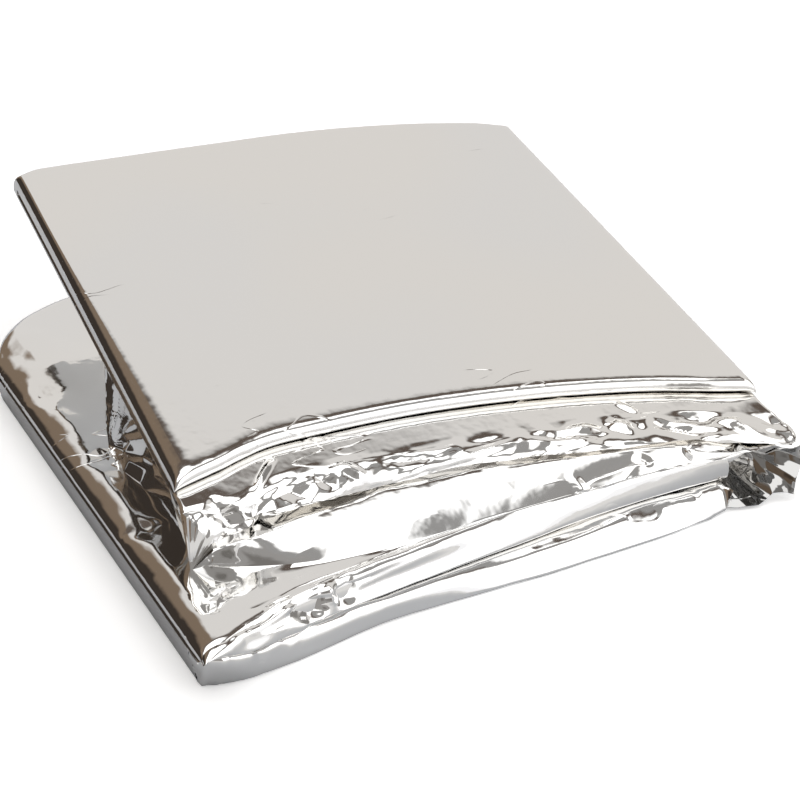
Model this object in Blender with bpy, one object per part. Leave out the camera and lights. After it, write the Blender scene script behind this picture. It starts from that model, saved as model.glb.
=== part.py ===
"""Emergency foil blanket: a one-piece film sheet folded to a packet and lying half open, like a book.

The solid is one back-and-forth section of four bundles of plies. From the surface upwards they are the
base (back), the inner leaf (forward), the cover (back) and the top leaf (forward to the lip). The first
two make the lower slab, which lies flat. The last two make the upper slab, which stands off it at the
back and is tied to it by the hinge fold along the front.

Lengths are in millimetres until the mesh is made. X runs along the hinge, Y to the back, Z up.
"""
import math

import bmesh
import bpy
from mathutils import Matrix, Vector

MM = 0.001

# Lower slab
LOWER_LEFT = -4.0            # x of its left edge
LOWER_WIDTH = 132.0
LOWER_TOP = 12.0             # height of its upper face
LOWER_TURN = 5.0             # depth of the rounded fold along its back

# Upper slab, in a frame of its own: across its width, along its depth, and up from its top face
UPPER_CORNER = (5.0, 25.4, 28.3)   # front left corner of the top face
UPPER_WIDTH = 132.5
UPPER_RISE = 8.3             # degrees that it climbs towards the back
UPPER_ROLL = 3.15            # degrees that its left edge stands above its right edge
UPPER_YAW = -3.9             # degrees that it is turned against the lower slab
UPPER_TURN = 3.2             # depth of the rounded fold along its back
TOP_LEAF = 3.4               # thickness of the top leaf
COVER = 3.6                  # thickness of the cover under it

# Folds
FOLD_GAP = 0.5               # space left between neighbouring bundles
NOSE_LEFT = 8.5              # x of the left end of the hinge fold
NOSE_WIDTH = 124.0
EDGE_ROUND = 0.8             # how far a bundle's free end is rounded off
ROOT_ROUND = 1.6             # rounding of the closed end of the opening between the slabs

# One row for each section, from the left edge to the right edge.
# share       place across the width, 0 to 1
# flap        y of the front end of the base bundle
# crease      y of the front of the crease between base and inner leaf
# crease_up   height of that crease
# rim         y of the rounded front edge of the lower slab
# foot        y where the hinge fold leaves the lower slab
# seam        y of the groove between the hinge fold and the nose above it
# seam_up     height of the groove
# brow        depth of the nose's upper edge in the upper slab's frame
# lip         depth of the free front edge of the top leaf in the upper slab's frame
# root        y of the closed end of the opening between the slabs
# lower_back  y of the back fold of the lower slab
# upper_back  depth of the back fold of the upper slab in its own frame
COLUMNS = ("share", "flap", "crease", "crease_up", "rim", "foot", "seam", "seam_up",
           "brow", "lip", "root", "lower_back", "upper_back")
SECTIONS = (
    (0.00, 0.5, -3.6, 9.4, -5.4, 19.0, 17.6, 16.6, -4.0, 1.4, 29.0, 120.0, 121.5),
    (0.04, -1.8, -4.6, 8.6, -4.6, 15.6, 17.4, 17.0, -4.2, 3.0, 30.0, 131.0, 124.2),
    (0.08, -2.4, -4.0, 7.2, -2.4, 13.2, 17.8, 17.0, -3.8, 4.8, 31.0, 137.5, 124.8),
    (0.16, -1.6, -1.0, 6.2, 0.9, 9.6, 19.0, 17.2, -0.4, 8.6, 32.5, 144.0, 125.4),
    (0.27, 0.4, 0.8, 5.8, 3.2, 7.4, 20.0, 17.2, 1.2, 10.0, 33.0, 147.0, 126.2),
    (0.40, 0.6, 2.2, 5.8, 4.6, 7.4, 19.2, 17.2, 0.8, 10.6, 32.5, 147.6, 127.0),
    (0.55, -0.4, 3.4, 5.8, 5.2, 7.0, 16.0, 16.8, 0.2, 9.6, 30.5, 146.6, 127.8),
    (0.70, -0.6, 4.6, 6.0, 5.4, 6.2, 11.4, 16.2, -1.6, 7.2, 26.5, 145.6, 127.0),
    (0.85, -0.6, 4.4, 6.0, 4.8, 5.2, 7.2, 15.2, -4.6, 3.0, 21.0, 144.4, 124.4),
    (0.94, 0.0, 4.0, 6.0, 3.4, 3.8, 4.6, 13.6, -8.6, -0.6, 17.5, 143.4, 121.6),
    (1.00, 0.8, 3.6, 6.0, 2.6, 3.0, 3.2, 12.9, -9.6, -2.6, 16.5, 142.0, 118.0),
)

# Sections lie closest at the two edges, where each bundle is rounded off: share, and how far it is drawn in
EDGE_SECTIONS = ((0.0, 1.2), (0.006, 0.45), (0.016, 0.1), (0.028, 0.0), (0.05, 0.0))
MIDDLE_SECTIONS = 25
RUN_POINTS = 10              # points along each bundle, from fold to fold
TURN_POINTS = 5              # points round each back fold

FILM_COLOUR = (0.84, 0.83, 0.81, 1.0)
FILM_ROUGHNESS = 0.12


def column(name, share):
    """Reads one column of SECTIONS at any share of the width, on a smooth curve through its rows."""
    field = COLUMNS.index(name)
    rows = [(row[0], row[field]) for row in SECTIONS]
    after = next((i for i, row in enumerate(rows) if row[0] >= share), len(rows) - 1)
    after = max(after, 1)
    start, end = rows[after - 1], rows[after]
    before = rows[max(after - 2, 0)]
    beyond = rows[min(after + 1, len(rows) - 1)]
    span = end[0] - start[0]
    slope_start = (end[1] - before[1]) / (end[0] - before[0]) * span
    slope_end = (beyond[1] - start[1]) / (beyond[0] - start[0]) * span
    t = (share - start[0]) / span
    return (start[1] * (2 * t ** 3 - 3 * t ** 2 + 1) + slope_start * (t ** 3 - 2 * t ** 2 + t)
            + end[1] * (3 * t ** 2 - 2 * t ** 3) + slope_end * (t ** 3 - t ** 2))


def mix(a, b, t):
    return a + (b - a) * t


def steps(start, end, count):
    """Evenly spaced values from start to end, both included."""
    return [mix(start, end, i / (count - 1)) for i in range(count)]


def upper_frame():
    """Turns a point of the upper slab's own frame into the packet's frame."""
    turn = (Matrix.Rotation(math.radians(UPPER_YAW), 4, "Z")
            @ Matrix.Rotation(math.radians(UPPER_RISE), 4, "X")
            @ Matrix.Rotation(math.radians(UPPER_ROLL), 4, "Y"))
    return Matrix.Translation(UPPER_CORNER) @ turn


UPPER = upper_frame()


def section(share):
    """The section at one share of the width, as two lists of points of equal length.

    The outer list runs along the under side of the base, round the back, over the lower slab, through the
    opening and over the top leaf to the lip. The inner list runs along the other side of the same folds.
    """
    at = {name: column(name, share) for name in COLUMNS}
    lower_x = LOWER_LEFT + share * LOWER_WIDTH
    nose_x = NOSE_LEFT + share * NOSE_WIDTH

    def low(y, z):
        return Vector((lower_x, y, z))

    def nose(y, z):
        return Vector((nose_x, y, z))

    def high(depth, drop):
        return UPPER @ Vector((share * UPPER_WIDTH, depth, -drop))

    outer, inner = [], []

    # Base: from its rounded front end to the back fold
    half = FOLD_GAP / 2
    base_top = at["crease_up"] - half
    low_turn = at["lower_back"] - LOWER_TURN
    outer.append(low(at["flap"], EDGE_ROUND))
    inner.append(low(at["crease"], base_top - EDGE_ROUND))
    for t in steps(0.0, 1.0, RUN_POINTS):
        outer.append(low(mix(at["flap"] + EDGE_ROUND, low_turn, t), 0.0))
        inner.append(low(mix(at["crease"] + EDGE_ROUND, low_turn, t), base_top))

    # Back fold of the lower slab
    middle = LOWER_TOP / 2
    for angle in steps(-90.0, 90.0, TURN_POINTS + 2)[1:-1]:
        along, up = math.cos(math.radians(angle)), math.sin(math.radians(angle))
        outer.append(low(low_turn + LOWER_TURN * along, middle + middle * up))
        inner.append(low(low_turn + half * along, at["crease_up"] + half * up))

    # Inner leaf: forward to the opening's closed end, and to the lower slab's front edge below it
    root = at["root"]
    for t in steps(0.0, 1.0, RUN_POINTS):
        outer.append(low(mix(low_turn, root + ROOT_ROUND, t), LOWER_TOP))
        inner.append(low(mix(low_turn, at["crease"] + EDGE_ROUND, t), at["crease_up"] + half))

    # Hinge: the outer list climbs the closed end of the opening; the inner list goes round the lower slab's
    # front edge, up the hinge fold to the seam, and over the nose to its brow
    ceiling = TOP_LEAF + FOLD_GAP + COVER
    cover_top = TOP_LEAF + FOLD_GAP
    root_foot = nose(root, LOWER_TOP)
    root_depth = (UPPER.inverted() @ root_foot).y
    root_head = high(root_depth + ROOT_ROUND, ceiling)
    brow = high(at["brow"], cover_top)
    face_up = LOWER_TOP + FOLD_GAP
    front = (
        low(at["crease"] - EDGE_ROUND / 2, at["crease_up"] + EDGE_ROUND),
        low(at["rim"] - EDGE_ROUND, mix(at["crease_up"], LOWER_TOP, 0.35)),
        low(at["rim"], mix(at["crease_up"], LOWER_TOP, 0.85)),
        low(at["rim"] + EDGE_ROUND, LOWER_TOP),
        nose(at["foot"], face_up),
        nose(mix(at["foot"], at["seam"], 0.5), mix(face_up, at["seam_up"], 0.55)),
        nose(at["seam"], at["seam_up"]),
        nose(mix(at["seam"], brow.y, 0.3), mix(at["seam_up"], brow.z, 0.5)),
        brow,
    )
    for i, point in enumerate(front):
        t = (i + 0.5) / len(front)
        sides = ROOT_ROUND * (1.0 - math.sin(math.pi * t))
        outer.append(root_foot.lerp(root_head, t) + Vector((0.0, sides, 0.0)))
        inner.append(point)

    # Cover: from the hinge to the back fold of the upper slab
    high_turn = at["upper_back"] - UPPER_TURN
    for t in steps(0.0, 1.0, RUN_POINTS):
        outer.append(high(mix(root_depth + 2 * ROOT_ROUND, high_turn, t), ceiling))
        inner.append(high(mix(at["brow"] + EDGE_ROUND, high_turn, t), cover_top))

    # Back fold of the upper slab
    middle = ceiling / 2
    for angle in steps(-90.0, 90.0, TURN_POINTS + 2)[1:-1]:
        along, up = math.cos(math.radians(angle)), math.sin(math.radians(angle))
        outer.append(high(high_turn + UPPER_TURN * along, middle - middle * up))
        inner.append(high(high_turn + half * along, cover_top - half - half * up))

    # Top leaf: forward to the lip
    for t in steps(0.0, 1.0, RUN_POINTS):
        outer.append(high(mix(high_turn, at["lip"] + EDGE_ROUND, t), 0.0))
        inner.append(high(mix(high_turn, at["lip"] + EDGE_ROUND, t), TOP_LEAF))
    outer.append(high(at["lip"], EDGE_ROUND))
    inner.append(high(at["lip"], TOP_LEAF - EDGE_ROUND))
    return outer, inner


def draw_in(outer, inner, inset):
    """Rounds a bundle towards its middle, which finishes it at the packet's side edges."""
    drawn_outer, drawn_inner = [], []
    for a, b in zip(outer, inner):
        across = b - a
        move = across.normalized() * min(inset, across.length * 0.3)
        drawn_outer.append(a + move)
        drawn_inner.append(b - move)
    return drawn_outer, drawn_inner


def section_places():
    """Shares of the width with their inset, from the left edge to the right edge."""
    left = list(EDGE_SECTIONS)
    right = [(1.0 - share, inset) for share, inset in reversed(EDGE_SECTIONS)]
    shares = steps(left[-1][0], right[0][0], MIDDLE_SECTIONS + 2)[1:-1]
    return left + [(share, 0.0) for share in shares] + right


def blanket_mesh():
    """Lofts the sections into one closed body."""
    bm = bmesh.new()
    rings = []
    for share, inset in section_places():
        outer, inner = draw_in(*section(share), inset)
        rings.append([bm.verts.new(point * MM) for point in outer + inner[::-1]])
    count = len(rings[0])
    for left, right in zip(rings, rings[1:]):
        for i in range(count):
            j = (i + 1) % count
            bm.faces.new((left[i], left[j], right[j], right[i]))
    for ring in (rings[0], rings[-1]):
        for i in range(count // 2 - 1):
            bm.faces.new((ring[i], ring[i + 1], ring[count - 2 - i], ring[count - 1 - i]))
    bmesh.ops.recalc_face_normals(bm, faces=bm.faces)

    # The packet's frame starts at the lower slab; the part's own starts under the middle of the packet
    xs = [vert.co.x for vert in bm.verts]
    ys = [vert.co.y for vert in bm.verts]
    middle = Vector(((min(xs) + max(xs)) / 2, (min(ys) + max(ys)) / 2, 0.0))
    bmesh.ops.translate(bm, verts=bm.verts, vec=-middle)
    mesh = bpy.data.meshes.new("foil_blanket")
    bm.to_mesh(mesh)
    bm.free()
    return mesh


def film_material():
    material = bpy.data.materials.new("metallised_film")
    material.use_nodes = True
    shader = material.node_tree.nodes["Principled BSDF"]
    shader.inputs["Base Color"].default_value = FILM_COLOUR
    shader.inputs["Metallic"].default_value = 1.0
    shader.inputs["Roughness"].default_value = FILM_ROUGHNESS
    return material


def main():
    for item in list(bpy.data.objects):
        bpy.data.objects.remove(item, do_unlink=True)
    mesh = blanket_mesh()
    mesh.materials.append(film_material())
    blanket = bpy.data.objects.new("foil_blanket", mesh)
    bpy.context.scene.collection.objects.link(blanket)
    mesh.shade_smooth()
    mesh.set_sharp_from_angle(angle=math.radians(40.0))


main()
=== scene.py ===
"""Looks of the folded foil blanket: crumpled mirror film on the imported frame, a pale floor and soft light.

Lengths in the tables are millimetres in the packet's own frame: X along the hinge, Y to the back, Z up,
with the origin near the lower slab's front left corner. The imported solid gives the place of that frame.
"""
import math

import bpy
import numpy as np
from mathutils import Matrix, Vector


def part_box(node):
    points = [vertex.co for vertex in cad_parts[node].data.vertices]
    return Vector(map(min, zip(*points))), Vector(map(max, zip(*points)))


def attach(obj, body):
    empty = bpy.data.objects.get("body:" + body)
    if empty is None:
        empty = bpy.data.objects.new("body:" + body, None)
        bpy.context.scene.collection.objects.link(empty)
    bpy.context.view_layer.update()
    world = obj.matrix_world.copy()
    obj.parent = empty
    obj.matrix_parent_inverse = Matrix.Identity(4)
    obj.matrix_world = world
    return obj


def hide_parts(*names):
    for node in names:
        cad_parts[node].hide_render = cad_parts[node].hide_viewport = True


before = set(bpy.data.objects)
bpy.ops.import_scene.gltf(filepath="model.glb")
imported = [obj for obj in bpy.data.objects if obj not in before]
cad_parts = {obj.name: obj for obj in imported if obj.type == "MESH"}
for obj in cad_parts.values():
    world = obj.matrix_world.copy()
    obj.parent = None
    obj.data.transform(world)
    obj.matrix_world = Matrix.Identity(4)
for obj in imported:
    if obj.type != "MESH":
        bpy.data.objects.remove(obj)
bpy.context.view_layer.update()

MM = 0.001
NODE = "foil_blanket"

# ---------------------------------------------------------------- packet sizes, as in the solid
LOWER_LEFT = -4.0
LOWER_WIDTH = 132.0
LOWER_TOP = 12.0
LOWER_TURN = 5.0
UPPER_CORNER = (5.0, 25.4, 28.3)
UPPER_WIDTH = 132.5
UPPER_RISE = 8.3
UPPER_ROLL = 3.15
UPPER_YAW = -3.9
UPPER_TURN = 3.2
TOP_LEAF = 3.4
COVER = 3.6
FOLD_GAP = 0.5
EDGE_ROUND = 0.8             # how far a bundle's free end is rounded off
NOSE_LEFT = 8.5
NOSE_WIDTH = 124.0

# the section that folds back and forth, at shares of the packet's width from the left
COLUMNS = ("share", "flap", "crease", "crease_up", "rim", "foot", "seam", "seam_up",
           "brow", "lip", "root", "lower_back", "upper_back")
SECTIONS = (
    (0.00, 0.5, -3.6, 9.4, -5.4, 19.0, 17.6, 16.6, -4.0, 1.4, 29.0, 120.0, 121.5),
    (0.04, -1.8, -4.6, 8.6, -4.6, 15.6, 17.4, 17.0, -4.2, 3.0, 30.0, 131.0, 124.2),
    (0.08, -2.4, -4.0, 7.2, -2.4, 13.2, 17.8, 17.0, -3.8, 4.8, 31.0, 137.5, 124.8),
    (0.16, -1.6, -1.0, 6.2, 0.9, 9.6, 19.0, 17.2, -0.4, 8.6, 32.5, 144.0, 125.4),
    (0.27, 0.4, 0.8, 5.8, 3.2, 7.4, 20.0, 17.2, 1.2, 10.0, 33.0, 147.0, 126.2),
    (0.40, 0.6, 2.2, 5.8, 4.6, 7.4, 19.2, 17.2, 0.8, 10.6, 32.5, 147.6, 127.0),
    (0.55, -0.4, 3.4, 5.8, 5.2, 7.0, 16.0, 16.8, 0.2, 9.6, 30.5, 146.6, 127.8),
    (0.70, -0.6, 4.6, 6.0, 5.4, 6.2, 11.4, 16.2, -1.6, 7.2, 26.5, 145.6, 127.0),
    (0.85, -0.6, 4.4, 6.0, 4.8, 5.2, 7.2, 15.2, -4.6, 3.0, 21.0, 144.4, 124.4),
    (0.94, 0.0, 4.0, 6.0, 3.4, 3.8, 4.6, 13.6, -8.6, -0.6, 17.5, 143.4, 121.6),
    (1.00, 0.8, 3.6, 6.0, 2.6, 3.0, 3.2, 12.9, -9.6, -2.6, 16.5, 142.0, 118.0),
)


def column(name, share):
    """One column of SECTIONS at an array of shares of the width, on a smooth curve through its rows."""
    at = np.array([row[0] for row in SECTIONS])
    value = np.array([row[COLUMNS.index(name)] for row in SECTIONS])
    slope = np.gradient(value, at)
    i = np.clip(np.searchsorted(at, share, side="right") - 1, 0, len(at) - 2)
    span = at[i + 1] - at[i]
    t = (share - at[i]) / span
    return (value[i] * (2 * t ** 3 - 3 * t ** 2 + 1) + slope[i] * span * (t ** 3 - 2 * t ** 2 + t)
            + value[i + 1] * (3 * t ** 2 - 2 * t ** 3) + slope[i + 1] * span * (t ** 3 - t ** 2))


def mix(a, b, t):
    """a at t = 0, b at t = 1."""
    return a + (b - a) * t


def smooth(low, high, x):
    """0 below low, 1 above high, and an S between them."""
    t = np.clip((x - low) / (high - low), 0.0, 1.0)
    return t * t * (3 - 2 * t)


# from the packet's own frame to the part's: both know the lower slab's left edge and its front corner
LOW_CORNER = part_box(NODE)[0]
FRONT_EDGE = SECTIONS[0][COLUMNS.index("rim")] - EDGE_ROUND
TO_PART = np.array((LOW_CORNER[0] / MM - LOWER_LEFT, LOW_CORNER[1] / MM - FRONT_EDGE, 0.0))

UPPER = (Matrix.Translation(UPPER_CORNER) @ Matrix.Rotation(math.radians(UPPER_YAW), 4, "Z")
         @ Matrix.Rotation(math.radians(UPPER_RISE), 4, "X")
         @ Matrix.Rotation(math.radians(UPPER_ROLL), 4, "Y"))
UPPER_AXES = np.array(UPPER.to_3x3())
UPPER_ORIGIN = np.array(UPPER_CORNER)


def points(x, y, z):
    """A row of points from numbers or arrays."""
    return np.stack(np.broadcast_arrays(x, y, z), -1).astype(float)


def upper_point(across, depth, drop):
    """Points in the packet's frame from places in the upper slab, drop being measured down from its top."""
    return points(across, depth, -drop) @ UPPER_AXES.T + UPPER_ORIGIN


# ---------------------------------------------------------------- crumpled film as height fields
TRIANGLE_SKEW = 0.3660254    # (root 3 - 1) / 2 turns squares into equal triangles,
TRIANGLE_BACK = 0.2113249    # and (3 - root 3) / 6 turns them back
HASH_I, HASH_J, HASH_SEED = 127.1, 311.7, 74.7     # any uneven numbers will do for these four
HASH_SPREAD = 43758.5453
WARP = 0.45                  # how far a crumple's lattice is shifted, in facets
WARP_SIZE = 2.3              # size of that shift's own facets, and of the calm and rough places, in facets
CALM_SIZE = 1.6
TENT_RISE = 0.35             # share of its length over which a ridge rises from either end


def lattice_value(i, j, seed):
    """A repeatable random number from -1 to 1 for each lattice corner."""
    n = np.sin(i * HASH_I + j * HASH_J + seed * HASH_SEED) * HASH_SPREAD
    return 2.0 * (n - np.floor(n)) - 1.0


def facets(x, y, size, seed):
    """Flat triangles with sharp edges, like creased foil: each corner of a lattice has a random height."""
    u, v = x / size, y / size
    skew = (u + v) * TRIANGLE_SKEW
    i, j = np.floor(u + skew), np.floor(v + skew)
    back = (i + j) * TRIANGLE_BACK
    a, b = u - (i - back), v - (j - back)
    first = a > b
    i1, j1 = np.where(first, 1, 0), np.where(first, 0, 1)
    # place in the triangle, in lattice steps
    p, q = a + (a + b) * TRIANGLE_SKEW, b + (a + b) * TRIANGLE_SKEW
    w1 = np.where(first, p - q, q - p)
    w2 = np.where(first, q, p)
    w0 = 1.0 - w1 - w2
    return (w0 * lattice_value(i, j, seed) + w1 * lattice_value(i + i1, j + j1, seed)
            + w2 * lattice_value(i + 1, j + 1, seed))


def swell(x, y, size, seed):
    """Smooth random hills."""
    u, v = x / size, y / size
    i, j = np.floor(u), np.floor(v)
    a, b = u - i, v - j
    a, b = a * a * (3 - 2 * a), b * b * (3 - 2 * b)
    return mix(mix(lattice_value(i, j, seed), lattice_value(i + 1, j, seed), a),
               mix(lattice_value(i, j + 1, seed), lattice_value(i + 1, j + 1, seed), a), b)


def crumple(x, y, size, seed, stretch=1.0, lean=0.0):
    """Uneven facets: a leaned and warped lattice that is calm in some places and rough in others."""
    angle = math.radians(lean)
    u = x * math.cos(angle) + y * math.sin(angle)
    v = (y * math.cos(angle) - x * math.sin(angle)) * stretch
    u = u + WARP * size * facets(u, v, size * WARP_SIZE, seed + 11)
    v = v + WARP * size * facets(u, v, size * WARP_SIZE, seed + 23)
    rough = 0.75 + 0.6 * swell(x, y, size * CALM_SIZE, seed + 31)
    return facets(u, v, size, seed) * rough


def tent(x, y, start, end, width):
    """A straight ridge of height 1 from start to end, falling to 0 at width on either side."""
    dx, dy = end[0] - start[0], end[1] - start[1]
    length = math.hypot(dx, dy)
    along = ((x - start[0]) * dx + (y - start[1]) * dy) / length
    off = np.abs((x - start[0]) * dy - (y - start[1]) * dx) / length
    reach = np.clip(np.minimum(along, length - along) / (TENT_RISE * length), 0.0, 1.0)
    return np.clip(1.0 - off / width, 0.0, 1.0) * reach


# ---------------------------------------------------------------- grids
EDGE_COLUMNS = (0.0, 0.05, 0.15, 0.3, 0.5, 0.75, 1.05, 1.4, 1.8, 2.3, 2.8)     # distances from a side edge


class Grid:
    """Rows of points that run across the packet, each with the name of its zone."""

    def __init__(self):
        self.rows = []
        self.zones = []

    def add(self, zone, row):
        self.rows.append(row)
        self.zones.append(zone)

    def strip(self, zone, make, count, skip_first=False):
        """Adds count rows, make(t) giving a row's points for t from 0 to 1."""
        for t in np.linspace(0.0, 1.0, count)[1 if skip_first else 0:]:
            self.add(zone, make(t))

    def array(self):
        return np.array(self.rows)


def spline(knots):
    """make(t) for a smooth curve through knots that are rows of points; t runs evenly over the knots."""
    knots = np.array(knots)
    slope = np.gradient(knots, axis=0)

    def make(t):
        place = t * (len(knots) - 1)
        i = min(int(place), len(knots) - 2)
        t = place - i
        return (knots[i] * (2 * t ** 3 - 3 * t ** 2 + 1) + slope[i] * (t ** 3 - 2 * t ** 2 + t)
                + knots[i + 1] * (3 * t ** 2 - 2 * t ** 3) + slope[i + 1] * (t ** 3 - t ** 2))
    return make


def straight(a, b):
    """make(t) for straight lines from the points a to the points b."""
    return lambda t: mix(a, b, t)


def grid_normals(p, flip=1.0):
    """Unit normals of a grid of points."""
    down = np.gradient(p, axis=0)
    side = np.gradient(p, axis=1)
    n = np.cross(side, down) * flip
    return n / np.maximum(np.linalg.norm(n, axis=2, keepdims=True), 1e-9)


def slanted(dx, reach):
    """1 at a side edge, falling evenly to 0 at the distance reach from it."""
    return 1.0 - np.clip(dx / reach, 0.0, 1.0)


def rounded(dx, reach):
    """1 at a side edge, falling in a quarter round to 0 at the distance reach from it."""
    t = np.clip(dx / reach, 0.0, 1.0)
    return 1.0 - np.sqrt(1.0 - (1.0 - t) ** 2)


def shares(count, width):
    """Shares of the width, closest at the two side edges."""
    edge = np.array(EDGE_COLUMNS) / width
    inner = np.linspace(edge[-1], 1.0 - edge[-1], count - 2 * len(edge) + 2)[1:-1]
    return np.concatenate((edge, inner, 1.0 - edge[::-1]))


def zip_ends(ring, outer, inner):
    """Triangles that close a side: they join two runs of one ring's vertex numbers, nearest first."""
    faces = []
    i = j = 0
    while i < len(outer) - 1 or j < len(inner) - 1:
        step_outer = j == len(inner) - 1
        if not step_outer and i < len(outer) - 1:
            across = np.linalg.norm(ring[outer[i + 1]] - ring[inner[j]])
            back = np.linalg.norm(ring[outer[i]] - ring[inner[j + 1]])
            step_outer = across < back
        if step_outer:
            faces.append((outer[i], outer[i + 1], inner[j]))
            i += 1
        else:
            faces.append((outer[i], inner[j + 1], inner[j]))
            j += 1
    return faces


def skin(name, p, turn):
    """A closed mesh from a grid of points in millimetres: rows wrap round, turn is the far fold's row."""
    rows, cols = p.shape[:2]
    index = np.arange(rows * cols).reshape(rows, cols)
    after = np.roll(index, -1, axis=0)
    quads = np.stack((index[:, :-1], index[:, 1:], after[:, 1:], after[:, :-1]), -1).reshape(-1, 4)
    faces = [tuple(map(int, f)) for f in quads]
    ring = p.reshape(-1, 3)
    for col in (0, cols - 1):
        outer = [int(index[r, col]) for r in range(turn + 1)]
        inner = [int(index[r, col]) for r in range(rows - 1, turn, -1)]
        ends = zip_ends(ring, outer, inner)
        faces += ends if col == 0 else [f[::-1] for f in ends]
    mesh = bpy.data.meshes.new(name)
    mesh.from_pydata(((ring + TO_PART) * MM).tolist(), [], faces)
    mesh.update()
    obj = bpy.data.objects.new(name, mesh)
    bpy.context.scene.collection.objects.link(obj)
    return obj


def arc_lengths(p):
    """Distance along each column from its first row."""
    step = np.linalg.norm(np.diff(p, axis=0), axis=2)
    return np.concatenate((np.zeros((1, p.shape[1])), np.cumsum(step, axis=0)))


def by_zone(grid, values, blend=2):
    """A value for every row from a zone's entry in values, eased over a few rows where zones meet."""
    rows = np.array([values.get(zone, 0.0) for zone in grid.zones], float)
    kernel = np.ones(2 * blend + 1) / (2 * blend + 1)
    eased = np.convolve(np.pad(rows, blend, mode="edge"), kernel, mode="valid")
    return eased[:, None]


def zone_place(grid, arcs, x, zone, share):
    """Arc length at a share of a zone's height, in the column nearest to x."""
    rows = [r for r, name in enumerate(grid.zones) if name == zone]
    p = grid.array()
    row = rows[0] + share * (rows[-1] - rows[0])
    low = int(row)
    col = int(np.argmin(np.abs(p[low, :, 0] - x)))
    high = min(low + 1, rows[-1])
    return float(mix(arcs[low, col], arcs[high, col], row - low))


def creases(grid, arcs, x, table):
    """Sum of listed creases: a row is start and end, each (x, zone, share), then width and height."""
    total = np.zeros_like(arcs)
    for start, end, width, height in table:
        a = (start[0], zone_place(grid, arcs, *start))
        b = (end[0], zone_place(grid, arcs, *end))
        total += height * tent(x, arcs, a, b, width)
    return total


# ---------------------------------------------------------------- lower half: base, inner leaf
HALF_GAP = FOLD_GAP / 2
EASE = 0.6                   # distance from a side edge over which the slots open
EDGE_DEPTH = 0.7             # a slanted side ends this far under its bundle's top
BASE_SLANT = 1.5             # distance from a side edge over which the base is slanted off
COVER_SLANT = 1.0
PLY_RISE = 0.35              # how far the hinge film lies off the surface it leaves
FOLD_ANGLES = np.linspace(-90.0, 90.0, 12)[1:-1]     # steps round a back fold, in degrees
LOWER_COLUMNS = 200
ON_FLOOR = 0.02              # nothing reaches lower than this
RIM_WIDTH = 5.5              # the inner leaf's rolled rim on the left, and how far it drops
RIM_DROP = 2.0
RIGHT_RIM_WIDTH = 3.0
RIGHT_RIM_DROP = 1.2
SHORT_FRONT = 7.0            # how far the packet's front stops short of its right edge
BULGE_SHARES = (0.0, 0.1, 0.45, 0.82, 1.0)     # places up the front's bulge, as shares of its height


def lower_top(x):
    """Height of the lower slab's upper face, with its rolled rims."""
    left = x - LOWER_LEFT
    right = LOWER_LEFT + LOWER_WIDTH - x
    return (LOWER_TOP - RIM_DROP * rounded(left, RIM_WIDTH)
            - RIGHT_RIM_DROP * rounded(right, RIGHT_RIM_WIDTH))


def rim_front(at, s, t):
    """Y of the hinge film in front of the lower slab, at share t of the height from the crease to the top.

    It bulges over a rounded rim on the left, and leans back in one slope with the hinge face on the right.
    """
    shape = np.interp(t, BULGE_SHARES, range(len(BULGE_SHARES)))
    knots = (at["crease"] + 0.8, at["crease"] - 0.3, at["rim"] - 1.2, at["rim"] - 0.7, at["rim"] + 0.6)
    low = min(int(shape), len(knots) - 2)
    bulge = mix(knots[low], knots[low + 1], shape - low)
    slope = mix(at["crease"] - 0.1, at["foot"], t) - 2.0 * t * (1.0 - t)
    return mix(bulge, slope, smooth(0.34, 0.62, s))


def front_shift(x, y):
    """The packet's front runs short of its right edge: how far each point moves to the left."""
    return -SHORT_FRONT * smooth(106.0, 128.0, x) * (1.0 - smooth(6.0, 22.0, y))


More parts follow.
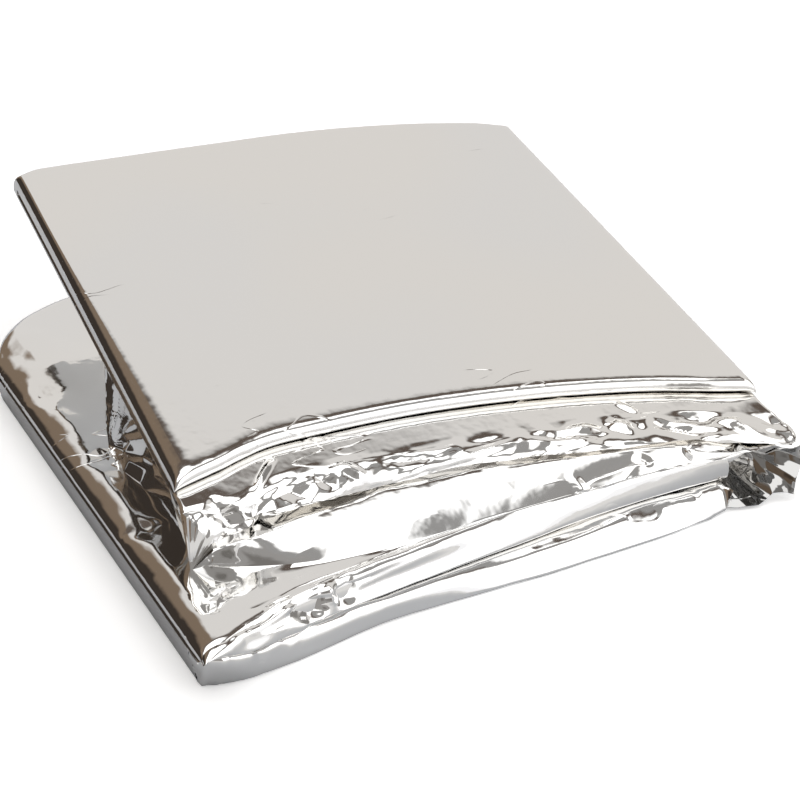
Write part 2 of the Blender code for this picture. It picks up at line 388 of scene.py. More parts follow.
def lower_half():
    """The lower half's grid before its crumples, and the row of its front fold."""
    s = shares(LOWER_COLUMNS, LOWER_WIDTH)
    at = {name: column(name, s) for name in COLUMNS}
    x = LOWER_LEFT + s * LOWER_WIDTH
    left = s * LOWER_WIDTH
    right = LOWER_WIDTH - left
    base_top = at["crease_up"] - HALF_GAP
    leaf_foot = at["crease_up"] + HALF_GAP
    turn = at["lower_back"] - LOWER_TURN
    top = lower_top(x)
    wall = np.maximum(slanted(left, BASE_SLANT), slanted(right, BASE_SLANT))
    lift = (base_top - EDGE_DEPTH) * wall
    ease = np.maximum(slanted(left, EASE), slanted(right, EASE))

    def low(y, z):
        return points(x, y, z)

    grid = Grid()
    grid.strip("bottom", straight(low(at["flap"] + 1.2, lift), low(turn, lift)), 10)
    middle = LOWER_TOP / 2
    for angle in FOLD_ANGLES:
        along, up = math.cos(math.radians(angle)), math.sin(math.radians(angle))
        grid.add("back", low(turn + LOWER_TURN * along, np.clip(middle + middle * up, lift, top)))
    rim_top = rim_front(at, s, 1.0) + 0.6
    grid.strip("top", lambda t: low(mix(turn, rim_top, t), top), 120)
    rim = spline([
        low(rim_top, top),
        low(rim_front(at, s, 0.8) + 0.9, mix(leaf_foot, top, 0.8)),
        low(rim_front(at, s, 0.4) + 0.9, mix(leaf_foot, top, 0.4)),
        low(at["crease"] + 1.4, leaf_foot + 0.1),
    ])
    grid.strip("rim", rim, 8, skip_first=True)
    turn_row = len(grid.rows) - 1
    leaf_edge = leaf_foot + 0.1 * ease
    base_edge = base_top - EDGE_DEPTH * ease
    grid.strip("slot", straight(low(at["crease"] + 3, leaf_edge), low(turn, leaf_edge)), 24)
    grid.strip("slot", straight(low(turn + HALF_GAP, at["crease_up"]), low(turn, base_edge)), 2)
    slot_mouth = low(at["crease"] + 2, base_edge)
    grid.strip("slot", straight(low(turn, base_edge), slot_mouth), 24, skip_first=True)
    flap = spline([
        slot_mouth,
        low(at["crease"] + 0.4, base_edge - 0.3),
        low(mix(at["crease"], at["flap"], 0.3) - 0.4, mix(base_edge, lift, 0.28)),
        low(mix(at["crease"], at["flap"], 0.7) - 0.5, mix(base_edge, lift, 0.66)),
        low(at["flap"] - 0.1, mix(base_edge, lift, 0.93)),
        low(at["flap"] + 1.2, lift),
    ])
    grid.strip("flap", flap, 30, skip_first=True)
    return grid, turn_row


# ---------------------------------------------------------------- upper half: hinge, nose, cover, top leaf
UPPER_COLUMNS = 330
CEILING = TOP_LEAF + FOLD_GAP + COVER
COVER_TOP = TOP_LEAF + FOLD_GAP
LIP_ROLL = 2.3               # how far back the lip's roll reaches on top
LIP_PINCH = 0.36             # the cover rises this much to the lip that lies on it
PANEL_REACH = 5.0            # how far the film in front of the lip goes on behind it
COVER_EASE = 0.4             # how far the cover and the top leaf draw apart at a side edge
LEAF_EASE = 0.5
LIP_ROWS = 24
LIP_FRONT = 14               # the lip's foremost row, counted back from its last
SKIN_GAP = 0.06              # the hinge film lies this far above the lower half's film
LEAF_EDGE_DROP = 2.5         # how far the top leaf's side edges are rounded down
LEAF_RIGHT_WIDTH = 3.0
LEAF_LEFT_WIDTHS = (4.8, 1.7)     # width of that rounding on the left, at the lip and at the back


def leaf_drop(left, right, left_width):
    """How far the top leaf's upper face is rounded down at its side edges."""
    return LEAF_EDGE_DROP * np.maximum(rounded(left, left_width), rounded(right, LEAF_RIGHT_WIDTH))


def upper_half():
    """The upper half's grid before its crumples, and the row of its lip."""
    s = shares(UPPER_COLUMNS, UPPER_WIDTH)
    at = {name: column(name, s) for name in COLUMNS}
    left = s * UPPER_WIDTH
    right = UPPER_WIDTH - left
    lower_x = LOWER_LEFT + s * LOWER_WIDTH
    nose_x = NOSE_LEFT + s * NOSE_WIDTH
    ease = np.maximum(slanted(left, EASE), slanted(right, EASE))
    wall = np.maximum(slanted(left, COVER_SLANT), slanted(right, COVER_SLANT))
    bed = lower_top(lower_x) + SKIN_GAP

    def low(y, z):
        return points(lower_x, y, z)

    def nose(y, z):
        return points(nose_x, y, z)

    def high(depth, drop):
        return upper_point(left, depth, drop)

    cover_edge = COVER_TOP + COVER_EASE * ease
    leaf_edge = TOP_LEAF - LEAF_EASE * ease
    brow = high(at["brow"], cover_edge)
    mouth_up = at["crease_up"] + PLY_RISE
    face_foot = LOWER_TOP + PLY_RISE
    rim_back = np.minimum(rim_front(at, s, 1.0) + 1.2, at["foot"] - 0.1)
    grid = Grid()

    # from inside the lower crease, round the lower slab's front edge to the foot of the hinge fold
    grid.strip("bed", straight(low(at["crease"] + 6, mouth_up), low(at["crease"] + 1.2, mouth_up)), 4)
    rim = spline([
        low(at["crease"] + 1.2, mouth_up),
        low(rim_front(at, s, 0.1), mix(mouth_up, bed, 0.10)),
        low(rim_front(at, s, 0.45), mix(mouth_up, bed, 0.45)),
        low(rim_front(at, s, 0.82), mix(mouth_up, bed, 0.82)),
        low(rim_front(at, s, 1.0), bed),
        low(rim_back, bed),
    ])
    grid.strip("rim", rim, 30, skip_first=True)
    grid.strip("foot", straight(low(rim_back, bed), nose(at["foot"], face_foot)), 14, skip_first=True)

    # hinge face up to the seam, the seam's groove, and the nose above it up to its brow
    face = spline([
        nose(at["foot"], face_foot),
        nose(mix(at["foot"], at["seam"], 0.33), mix(face_foot, at["seam_up"], 0.42)),
        nose(mix(at["foot"], at["seam"], 0.68), mix(face_foot, at["seam_up"], 0.80)),
        nose(at["seam"] - 0.3, at["seam_up"] + 0.1),
    ])
    grid.strip("face", face, 36, skip_first=True)
    gape = smooth(14.0, 20.0, nose_x) * (1.0 - smooth(30.0, 46.0, nose_x))
    groove = nose(at["seam"] + 1.9 + 3.5 * gape, at["seam_up"] + 0.3 + 0.5 * gape)
    under = nose(at["seam"] + 0.1, at["seam_up"] + 1.0 + 0.9 * gape)
    grid.strip("seam", straight(nose(at["seam"] - 0.3, at["seam_up"] + 0.1), groove), 5, skip_first=True)
    grid.strip("seam", straight(groove, under), 5, skip_first=True)
    bulge = spline([
        under,
        mix(under, brow, 0.35) + points(0.0, -0.9, 0.2),
        mix(under, brow, 0.75) + points(0.0, -0.7, 0.3),
        brow,
    ])
    grid.strip("nose", bulge, 34, skip_first=True)

    # cover's top in front of the lip, then on under the top leaf to the back and out again
    panel_end = at["lip"] + PANEL_REACH
    high_turn = at["upper_back"] - UPPER_TURN
    mouth = high(at["lip"] + 0.4, COVER_TOP - LIP_PINCH + COVER_EASE * ease)
    grid.strip("panel", straight(brow, mouth), 26, skip_first=True)
    grid.strip("panel", straight(mouth, high(panel_end, cover_edge)), 5, skip_first=True)
    slot = straight(high(panel_end, cover_edge), high(high_turn, cover_edge))
    grid.strip("slot", slot, 6, skip_first=True)
    slot_end = high(high_turn + HALF_GAP, COVER_TOP - HALF_GAP)
    grid.strip("slot", straight(slot_end, high(high_turn, leaf_edge)), 2)
    grid.strip("slot", straight(high(high_turn, leaf_edge), high(panel_end, leaf_edge)), 6, skip_first=True)

    lip = at["lip"]
    crown = leaf_drop(left, right, LEAF_LEFT_WIDTHS[0])
    bead = spline([
        high(panel_end, leaf_edge),
        high(lip + 1.2, TOP_LEAF - 0.1),
        high(lip - 0.1, mix(crown, TOP_LEAF, 0.8)),
        high(lip - 0.3, mix(crown, TOP_LEAF, 0.52)),
        high(lip + 0.2, mix(crown, TOP_LEAF, 0.22)),
        high(lip + 1.0, mix(crown, TOP_LEAF, 0.06)),
        high(lip + LIP_ROLL, crown),
    ])
    grid.strip("lip", bead, LIP_ROWS, skip_first=True)
    turn_row = len(grid.rows) - LIP_FRONT

    def top(t):
        depth = mix(lip + LIP_ROLL, high_turn, t)
        return high(depth, leaf_drop(left, right, mix(*LEAF_LEFT_WIDTHS, smooth(0.0, 100.0, depth))))
    grid.strip("top", top, 56, skip_first=True)

    # back fold, under side, closed end of the opening and the hidden bed inside the lower half
    middle = CEILING / 2
    edge_drop = leaf_drop(left, right, LEAF_LEFT_WIDTHS[1])
    ceiling_edge = CEILING - (COVER - EDGE_DEPTH) * wall
    for angle in FOLD_ANGLES[::-1]:
        along, up = math.cos(math.radians(angle)), math.sin(math.radians(angle))
        drop = np.clip(middle - middle * up, edge_drop, ceiling_edge)
        grid.add("back", high(high_turn + UPPER_TURN * along, drop))
    foot = nose(at["root"], LOWER_TOP)
    root_depth = ((foot - UPPER_ORIGIN) @ UPPER_AXES)[:, 1]
    grid.strip("under", straight(high(high_turn, ceiling_edge), high(root_depth + 3.2, ceiling_edge)), 10)
    head = high(root_depth + 1.6, CEILING)
    root = spline([
        high(root_depth + 3.2, ceiling_edge),
        mix(head, foot, 0.25),
        mix(head, foot, 0.75),
        nose(at["root"] + 1.6, LOWER_TOP + SKIN_GAP),
    ])
    grid.strip("root", root, 12, skip_first=True)
    deep = low(at["rim"] + 6, LOWER_TOP - 1.5)
    grid.strip("bed", straight(nose(at["root"], LOWER_TOP + SKIN_GAP), deep), 4)
    grid.strip("bed", straight(deep, low(at["crease"] + 6, mouth_up + 1.0)), 3, skip_first=True)
    return grid, turn_row


# ---------------------------------------------------------------- crumples
NOSE_SIZE = 13.0             # sizes of the facets
RIM_SIZE = 9.0
FACE_SIZE = 18.0
SLAB_SIZE = 15.0
FINE_SIZE = 4.0

# dents of the lower slab's upper face along its left rim: middle, half length along X, along Y, height
LEFT_DENTS = (
    ((10.0, 110.0), 12.0, 17.0, 0.9),
    ((5.0, 126.0), 9.0, 13.0, 0.8),
    ((1.0, 98.0), 6.0, 7.0, -0.6),
    ((2.5, 84.0), 5.0, 9.0, 0.3),
    ((3.5, 66.0), 6.0, 5.0, -0.5),
    ((1.5, 52.0), 5.0, 9.0, 0.3),
    ((1.5, 37.0), 7.0, 5.0, -0.7),
    ((1.0, 22.0), 6.0, 10.0, 0.4),
    ((6.0, 8.0), 8.0, 8.0, -0.3),
)
# ridges of the lower slab's flap: start and end (x, zone, share), width, height
FLAP_CREASES = (
    ((-1.0, "flap", 0.1), (4.0, "flap", 0.5), 1.8, 0.7),
    ((3.0, "flap", 0.05), (7.5, "flap", 0.4), 1.5, 0.6),
    ((7.0, "flap", 0.1), (10.0, "flap", 0.5), 1.3, -0.5),
    ((9.0, "flap", 0.05), (14.5, "flap", 0.4), 1.3, 0.6),
    ((14.0, "flap", 0.45), (38.0, "flap", 0.2), 1.6, 0.5),
    ((60.0, "flap", 0.35), (100.0, "flap", 0.25), 1.4, 0.4),
    ((100.0, "flap", 0.2), (122.0, "flap", 0.6), 3.0, 0.5),
)


def dents(x, y, table):
    """Sum of four sided pyramids."""
    total = np.zeros_like(x)
    for middle, half_x, half_y, height in table:
        off = np.abs(x - middle[0]) / half_x + np.abs(y - middle[1]) / half_y
        total += height * np.clip(1.0 - off, 0.0, 1.0)
    return total


def crumpled_lower(grid):
    """The lower half's points with the crumples of its flap and the dents of its left rim."""
    p = grid.array()
    x, y = p[..., 0], p[..., 1]
    arcs = arc_lengths(p)
    normal = grid_normals(p, -1.0)
    left = x - LOWER_LEFT
    corner = 1.0 - smooth(8.0, 24.0, left)
    flap = by_zone(grid, {"flap": 1.0}, 3)
    large = crumple(x, arcs, SLAB_SIZE, seed=3.0, stretch=1.6, lean=8.0)
    small = crumple(x, arcs, 4.2, seed=5.0, stretch=1.2, lean=-20.0)
    height = flap * (0.35 * large + (0.04 + 0.12 * corner) * small)
    height += creases(grid, arcs, x, FLAP_CREASES)
    top = by_zone(grid, {"top": 1.0}, 1)
    rough = 1.0 - smooth(9.0, 22.0, left)
    height += top * rough * (0.30 * crumple(x, y, SLAB_SIZE, seed=7.0, stretch=0.8, lean=20.0)
                             + 0.05 * crumple(x, y, FINE_SIZE, seed=8.0, stretch=0.8))
    height += top * dents(x, y, LEFT_DENTS)
    p = p + normal * height[..., None]
    p[..., 0] += front_shift(p[..., 0], p[..., 1])
    p[..., 2] = np.maximum(p[..., 2], ON_FLOOR)
    return p


CORNER_HANG = (5.0, -1.5, -2.8)     # how far the cover's right front corner has slumped
# how strongly each zone takes part in the crumples of the nose, of the rim and of the face
NOSE_ZONES = {"nose": 1.25, "seam": 0.5, "face": 0.02, "panel": 0.05, "lip": 0.08}
RIM_ZONES = {"rim": 0.4, "foot": 0.12}
FACE_ZONES = {"face": 0.45, "foot": 0.25, "rim": 0.2}
HANG_ZONES = {"seam": 0.8, "nose": 1.0, "panel": 1.0, "under": 0.8, "root": 0.5}
# ridges of the hinge, nose and cover: start and end (x, zone, share), width, height
FRONT_CREASES = (
    ((20.0, "panel", 0.0), (27.5, "panel", 0.55), 1.1, -1.0),
    ((11.5, "panel", 0.3), (14.5, "seam", 0.5), 3.6, 2.0),
    ((20.0, "panel", 0.05), (19.0, "seam", 0.5), 3.4, 1.7),
    ((26.0, "nose", 0.95), (31.0, "nose", 0.1), 3.0, 1.2),
    ((33.0, "nose", 0.9), (38.0, "nose", 0.15), 1.6, 0.9),
    ((38.5, "nose", 0.95), (44.0, "nose", 0.3), 1.2, -0.9),
    ((47.0, "nose", 0.7), (62.0, "nose", 0.5), 1.5, 0.8),
    ((60.0, "nose", 0.35), (78.0, "nose", 0.6), 1.3, -0.7),
    ((80.0, "nose", 0.8), (97.0, "nose", 0.5), 1.5, 0.8),
    ((99.0, "panel", 0.0), (104.0, "nose", 0.5), 2.2, -1.3),
    ((105.0, "panel", 0.55), (108.0, "panel", 0.1), 0.9, -0.6),
    ((108.0, "nose", 0.8), (120.0, "nose", 0.3), 1.8, 1.1),
    ((122.0, "nose", 0.9), (128.0, "nose", 0.2), 1.6, -1.1),
    ((85.0, "face", 0.5), (88.0, "rim", 0.9), 1.6, -0.5),
    ((88.0, "rim", 0.9), (102.0, "face", 0.1), 2.2, -0.8),
    ((100.0, "face", 0.7), (104.0, "face", 0.2), 1.5, 0.5),
    ((113.0, "face", 0.9), (116.0, "face", 0.2), 1.2, -0.6),
    ((-2.0, "rim", 0.75), (30.0, "rim", 0.8), 0.8, 0.5),
    ((8.0, "foot", 0.1), (56.0, "foot", 0.3), 0.8, 0.5),
    ((4.0, "rim", 0.55), (50.0, "rim", 0.65), 0.9, 0.5),
    ((17.0, "rim", 0.85), (23.5, "rim", 0.25), 3.2, 1.3),
    ((25.5, "rim", 0.85), (25.5, "rim", 0.2), 1.8, -1.0),
    ((31.0, "rim", 0.85), (27.0, "rim", 0.25), 3.0, 1.1),
    ((6.0, "rim", 0.6), (20.0, "rim", 0.15), 2.6, -1.0),
    ((-4.0, "foot", 0.75), (34.0, "foot", 0.8), 5.5, 0.28),
)


def crumpled_upper(grid):
    """The upper half's points with the crumples of hinge, nose and cover, and its slumped corner."""
    p = grid.array()
    x = p[..., 0]
    arcs = arc_lengths(p)
    normal = grid_normals(p, -1.0)
    right = smooth(108.0, 124.0, x)
    left = 1.0 - smooth(12.0, 30.0, x)
    ends = 1.0 + 0.6 * right + 0.5 * left
    nose = (crumple(x, arcs, NOSE_SIZE, seed=31.0, stretch=1.9, lean=14.0)
            + 0.22 * crumple(x, arcs, 6.0, seed=33.0, stretch=1.5, lean=-25.0)
            + 0.05 * crumple(x, arcs, 2.4, seed=37.0, stretch=1.3))
    rim = (crumple(x, arcs, RIM_SIZE, seed=41.0, stretch=1.5, lean=-12.0)
           + 0.08 * crumple(x, arcs, 2.6, seed=43.0, stretch=1.2))
    broad = crumple(x, arcs, FACE_SIZE, seed=51.0, stretch=1.6, lean=10.0)
    fans = 1.0 - 0.75 * smooth(30.0, 62.0, x)
    height = by_zone(grid, NOSE_ZONES, 4) * nose * ends
    height = height + by_zone(grid, RIM_ZONES, 3) * rim * ends * fans
    height = height + by_zone(grid, FACE_ZONES, 3) * broad
    height = height + creases(grid, arcs, x, FRONT_CREASES)
    hang = by_zone(grid, HANG_ZONES, 3)
    hang = hang * smooth(116.0, 134.0, x) * (1.0 - smooth(3.0, 14.0, p[..., 1]))
    p = p + hang[..., None] * np.array(CORNER_HANG)
    front = by_zone(grid, {"bed": 1.0, "rim": 1.0, "foot": 1.0, "face": 1.0}, 1)
    p[..., 0] += front * front_shift(p[..., 0], p[..., 1])
    p = p + normal * height[..., None]
    p[..., 2] = np.maximum(p[..., 2], ON_FLOOR)
    return p


# ---------------------------------------------------------------- film material
FILM_COOL = (0.855, 0.85, 0.84, 1.0)
FILM_WARM = (0.87, 0.855, 0.83, 1.0)
FILM_HAZE = (0.045, 0.085)     # roughness, least and most
TUCK_PAINTED_SHADE = 0.5               # painted shade: film deep in the corner tuck gets a darker colour, standing in for the shade inside the pocket
WAVE_HEIGHT = 0.0001           # metres, as are all sizes in the shader
WRINKLE_HEIGHT = 0.00006
WRINKLE_WIDTH = 0.012          # how near to its middle value the ridge's noise has to be
HARD_FOLD = math.radians(42)   # folds sharper than this are shaded as edges


def shaded(colour, shade):
    """A colour made darker, for painted shade."""
    return [shade * value for value in colour[:3]] + [1.0]


def film_material(name, shade):
    """Bright metal film: faint haze, slight tint changes, fine waves and a few sharp little wrinkles; a
    shade below 1 darkens its colour as painted shade.
    """
    material = bpy.data.materials.new(name)
    material.use_nodes = True
    nodes, links = material.node_tree.nodes, material.node_tree.links
    shader = nodes["Principled BSDF"]
    shader.inputs["Metallic"].default_value = 1.0
    place = nodes.new("ShaderNodeTexCoord")

    def noise(scale, detail, stretch=(1.0, 1.0, 1.0)):
        shape = nodes.new("ShaderNodeMapping")
        shape.inputs["Scale"].default_value = stretch
        links.new(place.outputs["Object"], shape.inputs["Vector"])
        node = nodes.new("ShaderNodeTexNoise")
        node.inputs["Scale"].default_value = scale
        node.inputs["Detail"].default_value = detail
        links.new(shape.outputs[0], node.inputs["Vector"])
        return node.outputs["Fac"]

    def ramp(value, low, high, start, end):
        node = nodes.new("ShaderNodeMapRange")
        node.inputs["From Min"].default_value = low
        node.inputs["From Max"].default_value = high
        node.inputs["To Min"].default_value = start
        node.inputs["To Max"].default_value = end
        links.new(value, node.inputs["Value"])
        return node.outputs[0]

    tint = nodes.new("ShaderNodeMix")
    tint.data_type = "RGBA"
    links.new(ramp(noise(22.0, 0.0), 0.35, 0.65, 0.0, 1.0), tint.inputs["Factor"])
    tint.inputs["A"].default_value = shaded(FILM_COOL, shade)
    tint.inputs["B"].default_value = shaded(FILM_WARM, shade)
    links.new(tint.outputs["Result"], shader.inputs["Base Color"])
    links.new(ramp(noise(60.0, 1.0), 0.3, 0.75, *FILM_HAZE), shader.inputs["Roughness"])

    waves = nodes.new("ShaderNodeBump")
    waves.inputs["Strength"].default_value = 0.28
    waves.inputs["Distance"].default_value = WAVE_HEIGHT
    links.new(noise(420.0, 1.0), waves.inputs["Height"])
    # a ridge runs where one noise passes its middle value, and is kept where another noise is high
    line = nodes.new("ShaderNodeMath")
    line.operation = "ABSOLUTE"
    links.new(ramp(noise(55.0, 1.0, (1.0, 2.6, 1.0)), 0.0, 1.0, -0.5, 0.5), line.inputs[0])
    ridge = ramp(line.outputs[0], 0.0, WRINKLE_WIDTH, 1.0, 0.0)
    spots = ramp(noise(38.0, 0.0), 0.66, 0.74, 0.0, 1.0)
    marks = nodes.new("ShaderNodeMath")
    marks.operation = "MULTIPLY"
    links.new(ridge, marks.inputs[0])
    links.new(spots, marks.inputs[1])
    wrinkles = nodes.new("ShaderNodeBump")
    wrinkles.inputs["Strength"].default_value = 0.9
    wrinkles.inputs["Distance"].default_value = WRINKLE_HEIGHT
    links.new(marks.outputs[0], wrinkles.inputs["Height"])
    links.new(waves.outputs["Normal"], wrinkles.inputs["Normal"])
    links.new(wrinkles.outputs["Normal"], shader.inputs["Normal"])
    return material


FILM = film_material("mirror_film", 1.0)
# a darker copy of the film, with painted shade for the corner tuck
PAINTED_SHADE_FILM = film_material("mirror_film_painted_shade", TUCK_PAINTED_SHADE)


def finish_piece(obj, look=FILM):
    """Gives a piece its film and its place in the frame."""
    obj.data.materials.append(look)
    obj.data.shade_smooth()
    obj.data.set_sharp_from_angle(angle=HARD_FOLD)
    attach(obj, "root")
    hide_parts(NODE)


lower_grid, lower_turn = lower_half()
lower = skin("foil_lower_half", crumpled_lower(lower_grid), lower_turn)
finish_piece(lower)

upper_grid, upper_turn = upper_half()
upper = skin("foil_upper_half", crumpled_upper(upper_grid), upper_turn)
finish_piece(upper)

# ---------------------------------------------------------------- loose film: gusset and corner tuck
SHEET_HALF = 0.07            # half the thickness given to a single film


def across_knots(knots, count):
    """Points at even steps along a line through knots."""
    knots = np.array(knots, float)
    at = np.linspace(0.0, len(knots) - 1.0, count)
    return np.stack([np.interp(at, np.arange(len(knots)), knots[:, k]) for k in range(3)], -1)


def pleats(angle, width):
    """Folds that spread from a point: up and down once every width of angle."""
    turn = angle / width
    return 4.0 * np.abs(turn - np.floor(turn + 0.5)) - 1.0


def film(name, p, height, look=FILM):
    """A single film from a grid of points: both its sides, closed round the edges."""
    normal = grid_normals(p)
    middle = p + normal * height[..., None]
    both = np.concatenate((middle - normal * SHEET_HALF, (middle + normal * SHEET_HALF)[::-1]))
    finish_piece(skin(name, both, len(p) - 1), look)


# the gusset hangs from the upper slab's left lower edge, and stands on the lower slab
GUSSET_DEPTHS = (57.5, 47.5, 37.5, 27.5, 17.5, 7.5, -1.5)
GUSSET_EDGE = 2.6            # how far in from the slab's left edge it hangs
GUSSET_OVERLAP = 0.1         # how far its upper edge is let into the slab
GUSSET_FOOT = ((6.6, 70.6, 12.1), (8.6, 66.6, 12.3), (6.2, 58.5, 12.1), (7.4, 53.0, 12.2),
               (7.4, 50.5, 12.0), (8.8, 48.5, 12.0), (10.9, 44.0, 12.0))
GUSSET_SIZE = (90, 60)
GUSSET_PLEAT = 0.34          # angle of one pleat, in radians


def make_gusset():
    head = [upper_point(GUSSET_EDGE, depth, CEILING - GUSSET_OVERLAP) for depth in GUSSET_DEPTHS]
    head = across_knots(head, GUSSET_SIZE[0])
    foot = across_knots(GUSSET_FOOT, GUSSET_SIZE[0])
    p = np.array([mix(head, foot, t) for t in np.linspace(0.0, 1.0, GUSSET_SIZE[1])])
    spread = np.arctan2(p[..., 2] - foot[0, 2] + 0.01, foot[0, 1] + 0.5 - p[..., 1])
    reach = np.linalg.norm(p - foot[0], axis=2)
    height = 0.55 * pleats(spread, GUSSET_PLEAT) * smooth(0.0, 12.0, reach)
    height += 0.35 * crumple(p[..., 1], p[..., 2], 8.0, seed=61.0, lean=30.0)
    film("foil_gusset", p, height)


# the tuck is the crumpled pocket at the right end of the hinge: four lines across it, from the top down
TUCK_LINES = (
    ((116.5, 4.4, 13.6), (122.0, 2.5, 13.0), (128.5, 1.0, 12.6), (133.5, 0.5, 12.4), (138.5, 1.5, 11.0)),
    ((117.0, 7.0, 10.0), (122.0, 11.0, 10.5), (128.0, 11.0, 10.5), (134.0, 6.0, 10.0), (138.5, 0.0, 8.0)),
    ((117.0, 7.0, 6.0), (122.0, 11.5, 6.0), (127.5, 9.5, 6.0), (132.5, 4.0, 5.0), (136.5, -1.5, 4.5)),
    ((117.5, 2.5, 1.2), (122.0, 0.0, 0.9), (126.5, -1.5, 1.2), (130.5, -1.0, 2.6), (135.0, -2.0, 1.6)),
)
TUCK_SIZE = (90, 70)


def make_tuck():
    place = spline([across_knots(line, TUCK_SIZE[0]) for line in TUCK_LINES])
    p = np.array([place(t) for t in np.linspace(0.0, 1.0, TUCK_SIZE[1])])
    x, z = p[..., 0], p[..., 2]
    height = 1.7 * crumple(x, z, 6.0, seed=71.0, stretch=0.7, lean=50.0)
    height += 0.35 * crumple(x, z, 2.4, seed=73.0)
    # painted shade: the tuck's film takes the darker film colour, standing in for the shade inside the
    # pocket
    film("foil_tuck", p, height, look=PAINTED_SHADE_FILM)


make_gusset()
make_tuck()

# ---------------------------------------------------------------- floor, light and camera
FLOOR_SIZE = 3.0
FLOOR_SEEN = (0.9, 0.9, 0.9, 1.0)
FLOOR_PAINTED_SHADE = (0.56, 0.575, 0.60, 1.0)     # painted shade: the film sees the floor dimmer, standing in for the shade the packet casts on the floor beside it
FLOOR_SHADED = (0.078, 0.125)                 # distances where that shade starts to fade, and ends
FLOOR_GLOW = (0.4, 0.4, 0.4, 1.0)             # makes the floor as pale as the backdrop for the camera
FLOOR_ROUGHNESS = 0.9
FLOOR_GLOSS = 0.1


def floor_material():
    """Pale floor. The film mirrors it dimmer near the packet, apart from its right and front sides, as
    painted shade.
    """
    material = bpy.data.materials.new("pale_floor")
    material.use_nodes = True
    nodes, links = material.node_tree.nodes, material.node_tree.links
    shader = nodes["Principled BSDF"]
    shader.inputs["Roughness"].default_value = FLOOR_ROUGHNESS
    shader.inputs["Specular IOR Level"].default_value = FLOOR_GLOSS
    shader.inputs["Emission Color"].default_value = FLOOR_GLOW

    # distance to the right of the middle or to the front of it, whichever is more
    place = nodes.new("ShaderNodeNewGeometry")
    turned = nodes.new("ShaderNodeVectorMath")
    turned.operation = "MULTIPLY"
    turned.inputs[1].default_value = (1.0, -1.0, 1.0)
    links.new(place.outputs["Position"], turned.inputs[0])
    split = nodes.new("ShaderNodeSeparateXYZ")
    links.new(turned.outputs[0], split.inputs[0])
    out = nodes.new("ShaderNodeMath")
    out.operation = "MAXIMUM"
    links.new(split.outputs[0], out.inputs[0])
    links.new(split.outputs[1], out.inputs[1])
    fade = nodes.new("ShaderNodeMapRange")
    fade.inputs["From Min"].default_value = FLOOR_SHADED[0]
    fade.inputs["From Max"].default_value = FLOOR_SHADED[1]
    links.new(out.outputs[0], fade.inputs["Value"])
    # painted shade: near the packet, the film's reflections of the floor take the darker colour
    painted_floor_shade = nodes.new("ShaderNodeMix")
    painted_floor_shade.data_type = "RGBA"
    links.new(fade.outputs[0], painted_floor_shade.inputs["Factor"])
    painted_floor_shade.inputs["A"].default_value = FLOOR_PAINTED_SHADE
    painted_floor_shade.inputs["B"].default_value = FLOOR_SEEN

    path = nodes.new("ShaderNodeLightPath")
    tint = nodes.new("ShaderNodeMix")
    tint.data_type = "RGBA"
    links.new(path.outputs["Is Glossy Ray"], tint.inputs["Factor"])
    tint.inputs["A"].default_value = FLOOR_SEEN
    links.new(painted_floor_shade.outputs["Result"], tint.inputs["B"])
    links.new(tint.outputs["Result"], shader.inputs["Base Color"])
    links.new(path.outputs["Is Camera Ray"], shader.inputs["Emission Strength"])
    return material


def make_floor():
    edge = FLOOR_SIZE / 2
    corners = [(-edge, -edge, 0), (edge, -edge, 0), (edge, edge, 0), (-edge, edge, 0)]
    mesh = bpy.data.meshes.new("floor")
    mesh.from_pydata(corners, [], [(0, 1, 2, 3)])
    mesh.materials.append(floor_material())
    obj = bpy.data.objects.new("floor", mesh)
    bpy.context.scene.collection.objects.link(obj)
    return obj


floor = make_floor()

# Light round the object. heading: degrees from the back (+Y) towards the right (+X); up: degrees above the
# horizon. Each panel lies over the ones before it, and fades at its edges over soft degrees. The first is
# all round. The camera sees the backdrop in place of them all.
BACKDROP = (0.95, 0.95, 0.95, 1.0)
NO_LIMIT = -400              # degrees that no angle falls below
PANEL_COLUMNS = ("heading", "half_width", "up_from", "up_to", "soft", "red", "green", "blue")
PANELS = (
    (0, 180, -90, 90, 4, 0.34, 0.33, 0.32),       # room
    (0, 180, 58, 91, 4, 1.9, 1.9, 1.9),           # soft light overhead
    (40, 75, -10, 47, 5, 0.77, 0.75, 0.73),       # pale wall behind
    (40, 90, 49, 56, 3, 0.12, 0.095, 0.08),       # dark gap between that wall and the overhead light
    (135, 42, -6, 50, 5, 1.7, 1.7, 1.7),          # soft light in front, to the right
    (135, 42, -6, 9, 8, 1.1, 1.1, 1.12),          # its dimmer foot
    (150, 62, 55, 65, 4, 0.34, 0.335, 0.33),      # dim ceiling above it
    (85, 16, -4, 24, 6, 0.25, 0.24, 0.23),        # dark stand on the right
    (205, 10, 16, 40, 8, 0.20, 0.19, 0.18),       # dark camera side
    (-60, 66, -10, 52, 5, 0.22, 0.165, 0.12),     # dark wall on the left
    (-60, 46, -10, 38, 7, 0.045, 0.036, 0.03),    # its darker foot
)


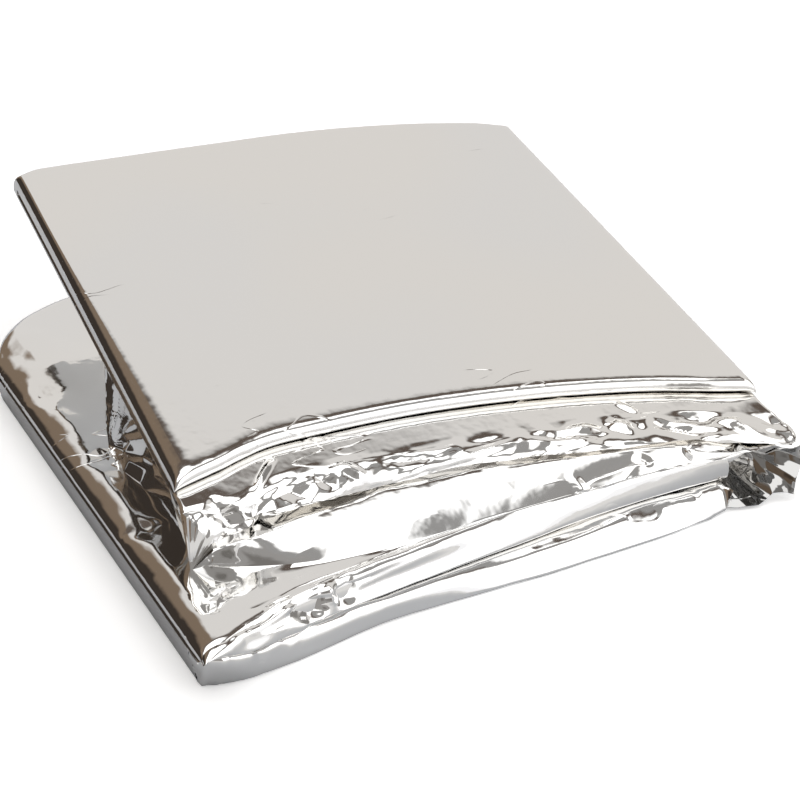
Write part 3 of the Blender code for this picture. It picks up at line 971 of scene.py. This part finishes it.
def world_light():
    """The panels as one world shader."""
    world = bpy.data.worlds.new("studio")
    bpy.context.scene.world = world
    world.use_nodes = True
    nodes, links = world.node_tree.nodes, world.node_tree.links
    nodes.clear()

    def math_node(kind, a, b=None, clamp=False):
        node = nodes.new("ShaderNodeMath")
        node.operation = kind
        node.use_clamp = clamp
        for socket, value in zip(node.inputs, (a, b)):
            if value is None:
                continue
            if isinstance(value, (int, float)):
                socket.default_value = value
            else:
                links.new(value, socket)
        return node.outputs[0]

    place = nodes.new("ShaderNodeTexCoord")
    split = nodes.new("ShaderNodeSeparateXYZ")
    links.new(place.outputs["Generated"], split.inputs[0])
    heading = math_node("ARCTAN2", split.outputs[0], split.outputs[1])
    up = math_node("ARCSINE", split.outputs[2])

    def inside(value, low, high, soft):
        """1 between low and high, fading at both over soft degrees."""
        above = math_node("SUBTRACT", value, math.radians(low - soft / 2))
        below = math_node("SUBTRACT", math.radians(high + soft / 2), value)
        rise = math_node("DIVIDE", above, math.radians(soft), clamp=True)
        fall = math_node("DIVIDE", below, math.radians(soft), clamp=True)
        return math_node("MULTIPLY", rise, fall)

    panels = [dict(zip(PANEL_COLUMNS, row)) for row in PANELS]
    tints = [(panel["red"], panel["green"], panel["blue"], 1.0) for panel in panels]
    base = nodes.new("ShaderNodeRGB")
    base.outputs[0].default_value = tints[0]
    colour = base.outputs[0]
    for panel, tint in zip(panels[1:], tints[1:]):
        # angle from the panel's middle, wrapped to a half turn either way
        turned = math_node("SUBTRACT", heading, math.radians(panel["heading"]))
        cos, sin = math_node("COSINE", turned), math_node("SINE", turned)
        away = math_node("ABSOLUTE", math_node("ARCTAN2", sin, cos))
        fac = math_node("MULTIPLY", inside(away, NO_LIMIT, panel["half_width"], panel["soft"]),
                        inside(up, panel["up_from"], panel["up_to"], panel["soft"]))
        blend = nodes.new("ShaderNodeMix")
        blend.data_type = "RGBA"
        links.new(fac, blend.inputs["Factor"])
        links.new(colour, blend.inputs["A"])
        blend.inputs["B"].default_value = tint
        colour = blend.outputs["Result"]
    background = nodes.new("ShaderNodeBackground")
    links.new(colour, background.inputs["Color"])
    pale = nodes.new("ShaderNodeBackground")
    pale.inputs["Color"].default_value = BACKDROP
    path = nodes.new("ShaderNodeLightPath")
    either = nodes.new("ShaderNodeMixShader")
    links.new(path.outputs["Is Camera Ray"], either.inputs["Fac"])
    links.new(background.outputs[0], either.inputs[1])
    links.new(pale.outputs[0], either.inputs[2])
    out = nodes.new("ShaderNodeOutputWorld")
    links.new(either.outputs[0], out.inputs["Surface"])


world_light()

CAMERA_HEADING = 28.3        # degrees that the view turns from +Y towards +X
CAMERA_UP = 30.2             # degrees that it looks down
CAMERA_LENS = 81.0
CAMERA_DISTANCE = 0.42
CAMERA_TARGET = Vector((0.0071, -0.0009, 0.0039))


def make_camera():
    """A camera that looks at the target from the photo's side."""
    heading, pitch = math.radians(CAMERA_HEADING), math.radians(CAMERA_UP)
    level = math.cos(pitch)
    forward = Vector((math.sin(heading) * level, math.cos(heading) * level, -math.sin(pitch)))
    camera = bpy.data.objects.new("camera", bpy.data.cameras.new("camera"))
    camera.data.lens = CAMERA_LENS
    camera.data.clip_start = 0.01
    camera.location = CAMERA_TARGET - forward * CAMERA_DISTANCE
    camera.rotation_mode = "QUATERNION"
    camera.rotation_quaternion = forward.to_track_quat("-Z", "Y")
    bpy.context.scene.collection.objects.link(camera)
    return camera


bpy.context.scene.camera = make_camera()
bpy.context.scene.view_settings.view_transform = "Standard"
bpy.context.scene.cycles.max_bounces = 7
bpy.context.scene.cycles.glossy_bounces = 6
bpy.context.scene.cycles.diffuse_bounces = 1
bpy.context.scene.world.cycles.sampling_method = "NONE"
